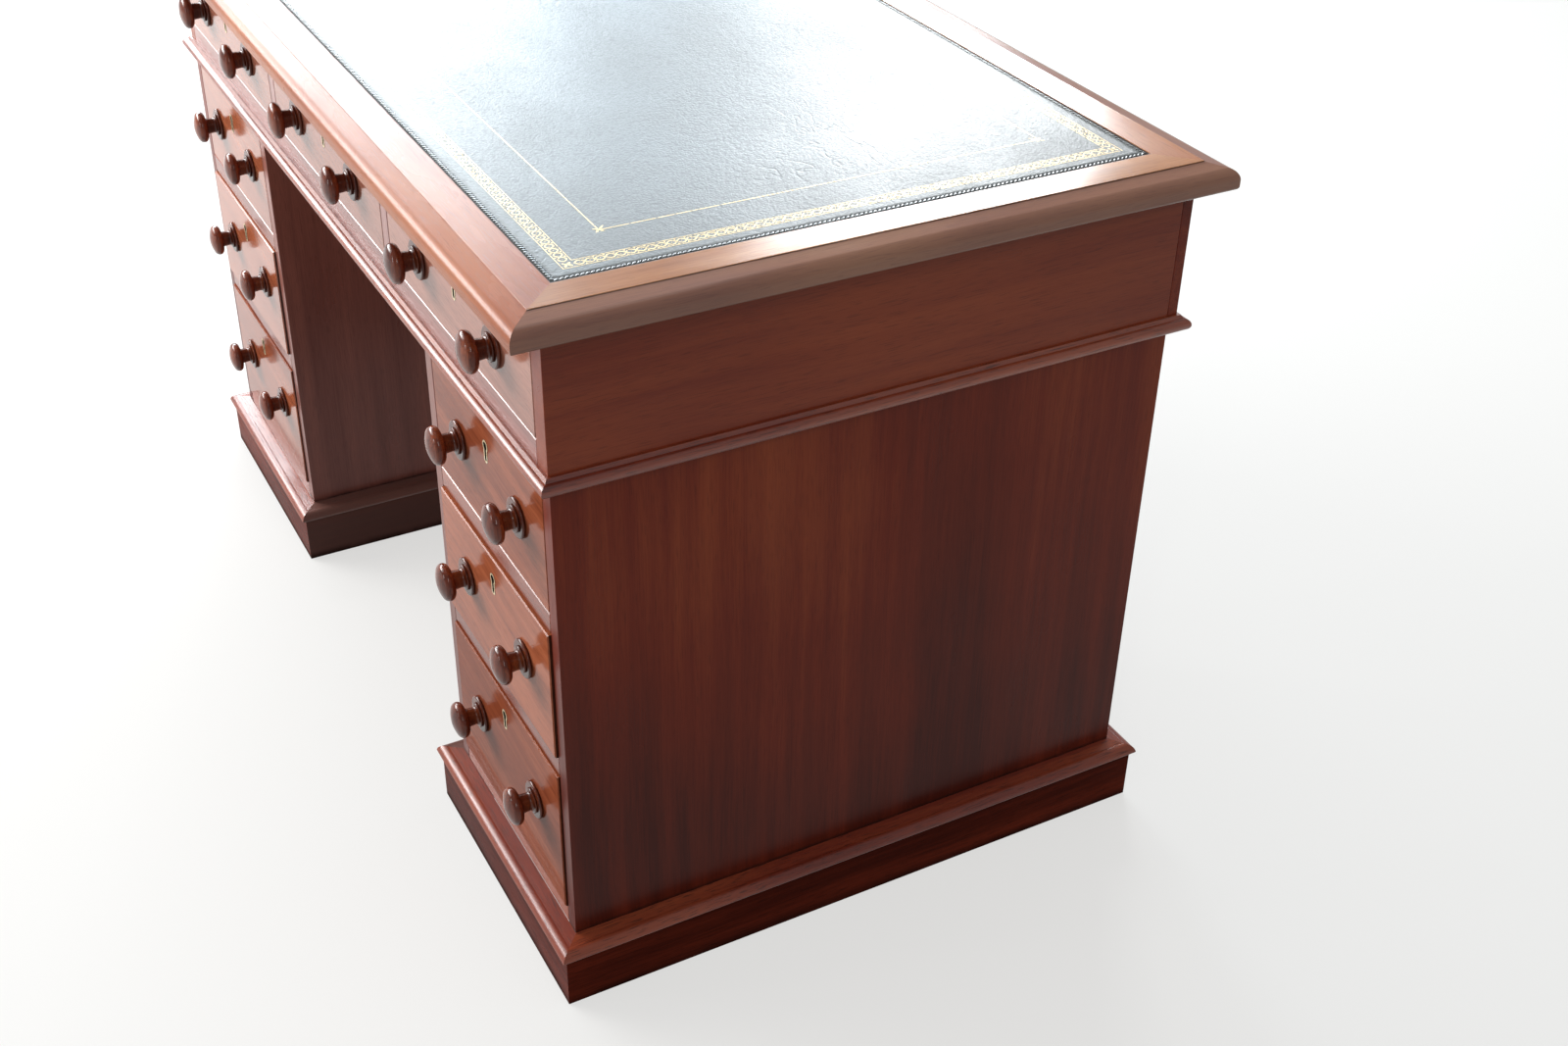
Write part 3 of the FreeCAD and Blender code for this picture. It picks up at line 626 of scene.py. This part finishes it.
def withShadedNeck(finish, look, colour, roughness, height):  # painted shade with some dirt: darker behind the head of a knob, in the pore colour
    x, y, z = finish.position()
    neck = y.ease(*knobNeckShade["reach"])
    colour = finish.mix(neck * knobNeckShade["shadeShare"], colour, look["pore"])
    return colour, roughness + neck * knobNeckShade["roughness"], height


knobWood = polishedWood("knob mahogany", "knobs", straightGrain("z"), withShadedNeck)
boxWood = liningWood("drawer lining", straightGrain("y"))
frameLining = liningWood("framing lining", straightGrain("y"))


brassLook = {
    "bright": (0.92, 0.80, 0.58),
    "dull": (0.66, 0.52, 0.31),
    # dark colour of the painted shade inside the keyhole
    "dirtAndShade": (0.012, 0.009, 0.006),
    "roughness": 0.30,
    "dullRoughness": 0.22,
    "keyholeShadeRoughness": 0.3,
    "wearScale": 260,
    "wearEdge": (0.38, 0.66),
    "scratches": (900, 60, 2600),
    "scratchDepth": 0.000004,
    "inside": (-0.3235, -0.3100),
}


def brassFinish(name):
    finish = Finish(name)
    spot = finish.position()
    wear = finish.noise(*(value * brassLook["wearScale"] for value in spot), 3.0, 0.6)
    wear = wear.ease(*brassLook["wearEdge"])
    start, end = brassLook["inside"]
    walled = (finish.facing()[1] + 0.5).above(0)
    dirtAndShade = spot[1].above(start).most(walled) * (end - spot[1]).above(0)  # painted shade: the keyhole is painted black inside
    metal = finish.mix(wear, brassLook["dull"], brassLook["bright"])
    colour = finish.mix(dirtAndShade, metal, brassLook["dirtAndShade"])
    scratch = finish.noise(*(value * scale for value, scale in zip(spot, brassLook["scratches"])), 1.0)
    roughness = brassLook["roughness"] + (1 - wear) * brassLook["dullRoughness"]
    return finish.surface({}, colour=colour, roughness=roughness + dirtAndShade * brassLook["keyholeShadeRoughness"],
                          metal=1 - dirtAndShade, normal=finish.relief(scratch * brassLook["scratchDepth"]))


brass = brassFinish("escutcheon brass")
for name in drawers:
    row = next(row for row in rows if row in name)
    easedFront(name + "_front", frontWood(name, row), carcass["frontEdge"])
    paint(name + "_box", boxWood)
    paint(name + "_knobs", knobWood)
    paint(name + "_lock", brass)
for name in ("top_panel", "frieze_runners", "pedestal_runners", "drawer_stops", "locating_pegs"):
    paint(name, frameLining)
print("drawers dressed")

# Leather: let into the top, tooled in gold and blind
leather = {
    "level": 0.7697,
    "halfX": border["leatherX"],
    "halfY": border["leatherY"],
    "thickness": 0.0015,
    "cell": 0.0045,
    "swell": 0.00012,
    "waves": ((9, 3.7, 1.0), (21, 8.1, 0.6)),  # count per metre, seed and share
    "waveShare": 0.55,
    "margin": (0.0055, 0.0063),
    "marginDrop": 0.0004,
    "colour": (0.0105, 0.0165, 0.0160),
    "warm": (0.0190, 0.0235, 0.0205),
    "valley": (0.005, 0.008, 0.008),
    "marginShade": (0.002, 0.003, 0.003),  # painted shade along the leather's edge, between the strands of the rope
    "marginShadeReach": (0.0072, 0.0060),
    "gapDull": (0.0062, 0.0054),
    "pebbles": 420,
    "coarsePebbles": 150,
    "wander": (120, 0.006),
    "grain": 1900,
    "valleyEdge": (0.30, 0.85),
    "shares": {"valley": 0.5, "marginShade": 0.75},
    "creaseWidth": 0.022,
    "creaseAreas": (0.46, 0.62),
    "rubEdge": (0.35, 0.70),
    "depths": {"pebble": 0.00016, "coarse": 0.00009, "grain": 0.000018, "crease": 0.00022},
    "roughness": 0.36,
    "unevenness": {"rub": 0.22, "pebble": 0.12, "marginShade": 0.35},
    "shine": 0.65,
}


def leatherHeight(x, y):
    slow = 0
    for count, seed, share in leather["waves"]:
        slow += share * noise.noise(Vector((x * count, y * count, seed)))
    inset = min(leather["halfX"] - abs(x), leather["halfY"] - abs(y))
    low, high = leather["margin"]
    fall = min(1.0, max(0.0, (high - inset) / (high - low)))
    level = leather["level"] - leather["swell"] + slow * leather["swell"] * leather["waveShare"]
    return level - fall * leather["marginDrop"]


def leatherFinish():
    finish = Finish("tooled leather")
    x, y, z = finish.position()
    scale, reach = leather["wander"]
    bendX = x + (finish.noise(x * scale, y * scale, 0.0, 2.0) - 0.5) * reach
    bendY = y + (finish.noise(x * scale, y * scale, 5.0, 2.0) - 0.5) * reach
    pebble = finish.cells(bendX * leather["pebbles"], bendY * leather["pebbles"], 0.0)
    coarse = finish.cells(bendX * leather["coarsePebbles"], bendY * leather["coarsePebbles"], 2.0)
    fine = finish.noise(x * leather["grain"], y * leather["grain"], 0.0, 2.0)
    crease = finish.noise(x * 9 + y * 5, y * 14 - x * 3, 1.0, 3.0, 0.55, 0.8)
    crease = lineAt(crease, 0.5, leather["creaseWidth"])
    creased = finish.noise(x * 3, y * 3, 4.0, 1.0).ease(*leather["creaseAreas"])
    rub = finish.noise(x * 4, y * 6, 9.0, 4.0, 0.6)
    colour = finish.mix(rub.ease(*leather["rubEdge"]), leather["colour"], leather["warm"])
    valley = pebble.ease(*leather["valleyEdge"]) * leather["shares"]["valley"]
    colour = finish.mix(valley, colour, leather["valley"])
    inset = (leather["halfX"] - abs(x)).least(leather["halfY"] - abs(y))
    marginShade = inset.ease(*leather["marginShadeReach"]) * leather["shares"]["marginShade"]
    colour = finish.mix(marginShade, colour, leather["marginShade"])
    depths, uneven = leather["depths"], leather["unevenness"]
    height = fine * depths["grain"] - pebble * depths["pebble"] - coarse * depths["coarse"]
    height = height - crease * creased * depths["crease"]
    roughness = leather["roughness"] + (rub - 0.5) * uneven["rub"] + pebble * uneven["pebble"]
    roughness = roughness + inset.ease(*leather["gapDull"]) * uneven["marginShade"]
    return finish.surface({"Specular IOR Level": leather["shine"]}, colour=colour, roughness=roughness,
                          normal=finish.relief(height))


def leatherSheet(material):
    countX = round(2 * leather["halfX"] / leather["cell"])
    countY = round(2 * leather["halfY"] / leather["cell"])

    def stations(half, count):  # even spacing, with rows of their own where the margin steps down
        low, high = leather["margin"]
        inner = half - high
        even = [-inner + 2 * inner * i / count for i in range(count + 1)]
        return [-half, low / 2 - half, low - half, *even, half - low, half - low / 2, half]

    xs, ys = stations(leather["halfX"], countX), stations(leather["halfY"], countY)
    bm = bmesh.new()
    grid = [[bm.verts.new((x, y, leatherHeight(x, y))) for x in xs] for y in ys]
    for low, high in zip(grid, grid[1:]):
        for a, b, c, d in zip(low, low[1:], high[1:], high):
            bm.faces.new((a, b, c, d))
    bottom = leather["level"] - leather["thickness"]
    rim = [*grid[0], *[line[-1] for line in grid[1:]], *reversed(grid[-1][:-1]),
           *[line[0] for line in reversed(grid[1:-1])]]
    foot = [bm.verts.new((v.co.x, v.co.y, bottom)) for v in rim]
    for i in range(len(rim)):
        j = (i + 1) % len(rim)
        bm.faces.new((rim[j], rim[i], foot[i], foot[j]))
    bm.faces.new(list(reversed(foot)))
    piece = meshPiece("leather_writing_surface", bm, material, bodyOf["leather_top"])
    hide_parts("leather_top")


leatherSheet(leatherFinish())
print("leather laid")

# Tooling: distances are in from the leather's edge
tooling = {
    "lift": 0.00004,
    "foil": 0.00005,
    "bandLines": (0.0190, 0.0314),
    "lineWidth": 0.0007,
    "bandMiddle": 0.0252,
    "bandReach": 0.0037,
    "bandPitch": 0.0093,
    "strandWidth": 0.0013,
    "strandSteps": 14,
    "flower": 0.0005,
    "leafHalf": 0.0013,
    "leafFoot": 0.0014,
    "leafLength": 0.0024,
    "cornerFlower": 0.0052,
    "innerLine": 0.0750,
    "innerWidth": 0.0011,
    "innerStep": 0.02,
    "sprayLengths": {45: 0.0105, 135: 0.0062, 225: 0.0062, 315: 0.0062},  # by angle from the line
    "sprayHalf": 0.0013,
    "sprayStart": 0.0004,
    "ropeMiddle": 0.0040,
    "ropePitch": 0.0046,
    "ropeLength": 0.0064,
    "ropeWidth": 0.0031,
    "ropeHeight": 0.00058,
    "ropeSink": 0.00003,
    "ropeSlope": math.radians(38),
    "ropeProfile": ((0.90, 0.66), (0.66, 0.97)),  # shares of the strand's plan and of its height
    "ropeSides": 10,
}


def onLeather(bm, x, y, lift):
    return bm.verts.new((x, y, leatherHeight(x, y) + lift))


def foilStrip(bm, points, width):  # a flat strip along points in plan
    rim = []
    for i, point in enumerate(points):
        ahead, behind = points[min(i + 1, len(points) - 1)], points[max(i - 1, 0)]
        run = (ahead - behind).normalized()
        out = Vector((-run.y, run.x)) * width / 2
        rim.append([onLeather(bm, *spot, tooling["lift"]) for spot in (point + out, point - out)])
    for (a, b), (c, d) in zip(rim, rim[1:]):
        bm.faces.new((a, b, d, c))


def foilShape(bm, middle, outline):
    bm.faces.new([onLeather(bm, *(middle + Vector(point)), tooling["lift"]) for point in outline])


def leatherCorners(inset):
    x, y = leather["halfX"] - inset, leather["halfY"] - inset
    return [Vector(c) for c in ((-x, -y), (x, -y), (x, y), (-x, y))]


def foilFrame(bm, inset, width):  # a mitred line round the leather
    outer, inner = leatherCorners(inset - width / 2), leatherCorners(inset + width / 2)
    for i in range(4):
        j = (i + 1) % 4
        count = round((outer[j] - outer[i]).length / tooling["innerStep"])
        rim = []
        for k in range(count + 1):
            ends = (line[i].lerp(line[j], k / count) for line in (outer, inner))
            rim.append([onLeather(bm, *spot, tooling["lift"]) for spot in ends])
        for (a, b), (c, d) in zip(rim, rim[1:]):
            bm.faces.new((a, c, d, b))


def leatherSides(inset):  # each side as start, direction, inward direction and length
    corners = leatherCorners(inset)
    for start, end in zip(corners, corners[1:] + corners[:1]):
        run = (end - start).normalized()
        yield start, run, Vector((-run.y, run.x)), (end - start).length


def flowerOutline(radius, deep, steps, turned=0.0, tall=1.0):  # four petals, cut in by a share of the radius
    angles = [math.tau * step / steps for step in range(steps)]
    radii = [radius * (1 - deep + deep * math.cos(4 * angle + turned)) for angle in angles]
    return [Vector((r * math.cos(angle), tall * r * math.sin(angle))) for r, angle in zip(radii, angles)]


def foilBand(bm):  # two crossing strands with a flower in each eye, and a larger one at each corner
    reach = tooling["bandReach"]
    block = tooling["bandLines"][1] - tooling["bandMiddle"]
    for start, run, inward, length in leatherSides(tooling["bandMiddle"]):
        clear = length - 2 * block
        eyes = round(clear / tooling["bandPitch"])
        pitch = clear / eyes
        count = eyes * tooling["strandSteps"]
        for phase in (0, math.pi):
            points = []
            for k in range(count + 1):
                travel = block + clear * k / count
                swing = reach * math.sin(math.pi * (travel - block) / pitch + phase)
                points.append(start + run * travel + inward * swing)
            foilStrip(bm, points, tooling["strandWidth"])
        turn = Matrix(((run.x, inward.x), (run.y, inward.y)))
        for k in range(eyes):
            middle = start + run * (block + pitch * (k + 0.5))
            eye = flowerOutline(tooling["flower"], 0.20, 16, tall=1.5)
            foilShape(bm, middle, [turn @ point for point in eye])
            if not k:
                continue
            for side in (-1, 1):  # a leaf fills the outside of each crossing
                rises = ((-1, 0), (-0.35, 0.55), (0, 1), (0.35, 0.55), (1, 0))
                leaf = []
                for a, b in rises:
                    tip = reach + tooling["leafFoot"] - b * tooling["leafLength"]
                    leaf.append(turn @ Vector((a * tooling["leafHalf"], side * tip)))
                foilShape(bm, start + run * (block + pitch * k), leaf[::-side])
        foilShape(bm, start, flowerOutline(tooling["cornerFlower"], 0.34, 32, turned=math.pi))


def foilCorner(bm):  # small sprays where the inner line turns
    for start, run, inward, _ in leatherSides(tooling["innerLine"]):
        for angle, long in tooling["sprayLengths"].items():
            way = run * math.cos(math.radians(angle)) + inward * math.sin(math.radians(angle))
            wide = Vector((-way.y, way.x)) * tooling["sprayHalf"]
            belly = way * long * 0.5
            foilShape(bm, start, [belly - wide, way * long, belly + wide, way * tooling["sprayStart"]])


goldLook = {"gold": (0.52, 0.385, 0.180), "worn": (0.130, 0.110, 0.070), "roughness": 0.40,
            "wornRoughness": 0.3, "wearScale": 230, "wearEdge": (0.53, 0.64), "shine": 0.5}


def goldFinish():
    finish = Finish("gold tooling")
    x, y, z = finish.position()
    worn = finish.noise(x * goldLook["wearScale"], y * goldLook["wearScale"], 0.0, 3.0, 0.65)
    worn = worn.ease(*goldLook["wearEdge"])
    colour = finish.mix(worn, goldLook["gold"], goldLook["worn"])
    roughness = goldLook["roughness"] + worn * goldLook["wornRoughness"]
    return finish.surface({"Specular IOR Level": goldLook["shine"]}, colour=colour, roughness=roughness,
                          metal=1 - worn)


def goldTooling(material):
    bm = bmesh.new()
    for inset in tooling["bandLines"]:
        foilFrame(bm, inset, tooling["lineWidth"])
    foilBand(bm)
    foilFrame(bm, tooling["innerLine"], tooling["innerWidth"])
    foilCorner(bm)
    bm.normal_update()
    for face in bm.faces:
        if face.normal.z < 0:
            face.normal_flip()
    piece = meshPiece("gold_tooling", bm, material, bodyOf["leather_top"], smooth=False)
    thick = piece.modifiers.new("foil", "SOLIDIFY")
    thick.thickness = tooling["foil"]
    thick.offset = 1


def ropeTooling(material):  # a blind-tooled cord just inside the leather's edge
    bm = bmesh.new()
    sides, height = tooling["ropeSides"], tooling["ropeHeight"]
    angles = [math.tau * step / sides for step in range(sides)]
    levels = [(1.0, -tooling["ropeSink"])]
    levels += [(share, rise * height) for share, rise in tooling["ropeProfile"]]
    for start, run, inward, length in leatherSides(tooling["ropeMiddle"]):
        count = round(length / tooling["ropePitch"])
        long = run * math.cos(tooling["ropeSlope"]) + inward * math.sin(tooling["ropeSlope"])
        wide = Vector((-long.y, long.x)) * tooling["ropeWidth"] / 2
        long = long * tooling["ropeLength"] / 2
        for k in range(count):
            middle = start + run * length * (k + 0.5) / count
            rings = []
            for share, lift in levels:
                spots = [middle + share * (long * math.cos(a) + wide * math.sin(a)) for a in angles]
                rings.append([onLeather(bm, *spot, lift) for spot in spots])
            crown = onLeather(bm, *middle, height)
            for i in range(sides):
                j = (i + 1) % sides
                for low, high in zip(rings, rings[1:]):
                    bm.faces.new((low[i], low[j], high[j], high[i]))
                bm.faces.new((rings[-1][i], rings[-1][j], crown))
            bm.faces.new(list(reversed(rings[0])))
    meshPiece("rope_tooling", bm, material, bodyOf["leather_top"])


ropeLook = {"dark": (0.006, 0.008, 0.008), "rubbed": (0.030, 0.036, 0.034), "roughness": 0.24,
            "rubRoughness": 0.10, "rubScale": 160, "rubEdge": (0.36, 0.68), "shine": 0.8}


def ropeFinish():
    finish = Finish("blind tooled leather")
    x, y, z = finish.position()
    scale = ropeLook["rubScale"]
    rub = finish.noise(x * scale, y * scale, 0.0, 3.0).ease(*ropeLook["rubEdge"])
    colour = finish.mix(rub, ropeLook["dark"], ropeLook["rubbed"])
    roughness = ropeLook["roughness"] + rub * ropeLook["rubRoughness"]
    return finish.surface({"Specular IOR Level": ropeLook["shine"]}, colour=colour, roughness=roughness)


goldTooling(goldFinish())
ropeTooling(ropeFinish())
print("tooling stamped")

# Stage: pale floor, soft light from the left and above
stage = {
    "floor": (0.23, 0.228, 0.223),
    "drop": 0.0004,
    "pale": (1, 0.995, 0.98),
    "paleness": 0.63,
    "reach": 45.0,
    "rim": 2.6,  # the far edge turns up into a backdrop
    "sides": 96,
    "lightTarget": (0.1, 0.0, 0.5),
    "world": (0.95, 0.98, 1.0),
    "worldLevel": 0.48,
}

softboxes = {  # azimuth from -X towards +Y, elevation, distance, width, height, brightness, colour
    "left": (6, 19.5, 4.2, 1.75, 1.5, 17.0, (0.87, 0.95, 1.0)),
    "back": (38, 23, 4.2, 1.0, 1.4, 21.0, (0.92, 0.97, 1.0)),
    "between": (22, 18, 4.3, 1.1, 1.4, 6.0, (0.72, 0.87, 1.0)),
    "window": (-78, 8, 4.2, 0.32, 1.2, 12.0, (1.0, 1.0, 1.0)),
    "corner": (-17, 18, 4.2, 1.7, 1.5, 10.0, (0.95, 0.98, 1.0)),
    "front": (-46, 26, 4.2, 2.6, 2.2, 5.0, (1.0, 0.99, 0.97)),
    "frontCore": (-40, 16.5, 4.1, 1.8, 1.3, 15.0, (1.0, 1.0, 1.0)),
    "strip": (-142, 30, 4.4, 0.3, 1.5, 12.0, (1.0, 0.98, 0.95)),
    "above": (10, 74, 3.6, 2.6, 2.6, 1.1, (1.0, 1.0, 1.0)),
}


def makeFloor():
    bm = bmesh.new()
    bmesh.ops.create_circle(bm, cap_ends=True, segments=stage["sides"], radius=stage["reach"])
    rim = bmesh.ops.extrude_edge_only(bm, edges=[edge for edge in bm.edges if edge.is_boundary])
    for item in rim["geom"]:
        if isinstance(item, bmesh.types.BMVert):
            item.co.z += stage["rim"]
    mesh = bpy.data.meshes.new("floor")
    bm.to_mesh(mesh)
    bm.free()
    finish = Finish("pale floor")
    rays = [finish.node("LightPath", output=name) for name in
            ("Is Camera Ray", "Is Glossy Ray", "Is Transmission Ray")]
    seen = rays[0].most(rays[1]).most(rays[2])
    plain = finish.node("BsdfDiffuse", {}, {0: (*stage["floor"], 1)})
    pale = finish.node("Emission", {}, {0: (*stage["pale"], 1), 1: seen * stage["paleness"]})
    both = finish.node("AddShader", {}, {0: plain, 1: pale})
    finish.node("OutputMaterial", {}, {0: both})
    mesh.materials.append(finish.material)
    floor = bpy.data.objects.new("floor", mesh)
    floor.location.z = -stage["drop"]
    bpy.context.scene.collection.objects.link(floor)


def makeLights():
    target = Vector(stage["lightTarget"])
    for name, (azimuth, elevation, distance, width, height, level, colour) in softboxes.items():
        a, e = math.radians(azimuth), math.radians(elevation)
        way = Vector((-math.cos(a) * math.cos(e), math.sin(a) * math.cos(e), math.sin(e)))
        lamp = bpy.data.lights.new("softbox " + name, "AREA")
        lamp.shape = "RECTANGLE"
        lamp.size, lamp.size_y = width, height
        lamp.energy = level * math.pi * width * height
        lamp.color = colour
        holder = bpy.data.objects.new("softbox " + name, lamp)
        holder.location = target + way * distance
        holder.rotation_mode = "QUATERNION"
        holder.rotation_quaternion = (-way).to_track_quat("-Z", "Y")
        bpy.context.scene.collection.objects.link(holder)
    world = bpy.data.worlds.new("studio")
    world.use_nodes = True
    sky = world.node_tree.nodes["Background"]
    sky.inputs["Color"].default_value = (*stage["world"], 1)
    sky.inputs["Strength"].default_value = stage["worldLevel"]
    bpy.context.scene.world = world


camera = {
    "place": (1.8549, -0.8005, 1.4557),
    "yaw": 60.86,
    "pitch": 33.70,
    "roll": 1.25,
    "focal": 1928.5 / 1600,  # in widths of the picture
    "sensor": 36.0,
}


def makeCamera():
    yaw, pitch, roll = (math.radians(camera[key]) for key in ("yaw", "pitch", "roll"))
    ahead = Vector((-math.sin(yaw) * math.cos(pitch), math.cos(yaw) * math.cos(pitch), -math.sin(pitch)))
    level = Vector((math.cos(yaw), math.sin(yaw), 0))
    rise = level.cross(ahead)
    right = level * math.cos(roll) + rise * math.sin(roll)
    up = rise * math.cos(roll) - level * math.sin(roll)
    data = bpy.data.cameras.new("camera")
    data.sensor_width = camera["sensor"]
    data.lens = camera["focal"] * camera["sensor"]
    holder = bpy.data.objects.new("camera", data)
    turn = Matrix((right, up, -ahead)).transposed().to_4x4()
    holder.matrix_world = Matrix.Translation(camera["place"]) @ turn
    bpy.context.scene.collection.objects.link(holder)
    bpy.context.scene.camera = holder


makeFloor()
makeLights()
makeCamera()
bpy.context.scene.view_settings.view_transform = "Standard"
print("stage set")
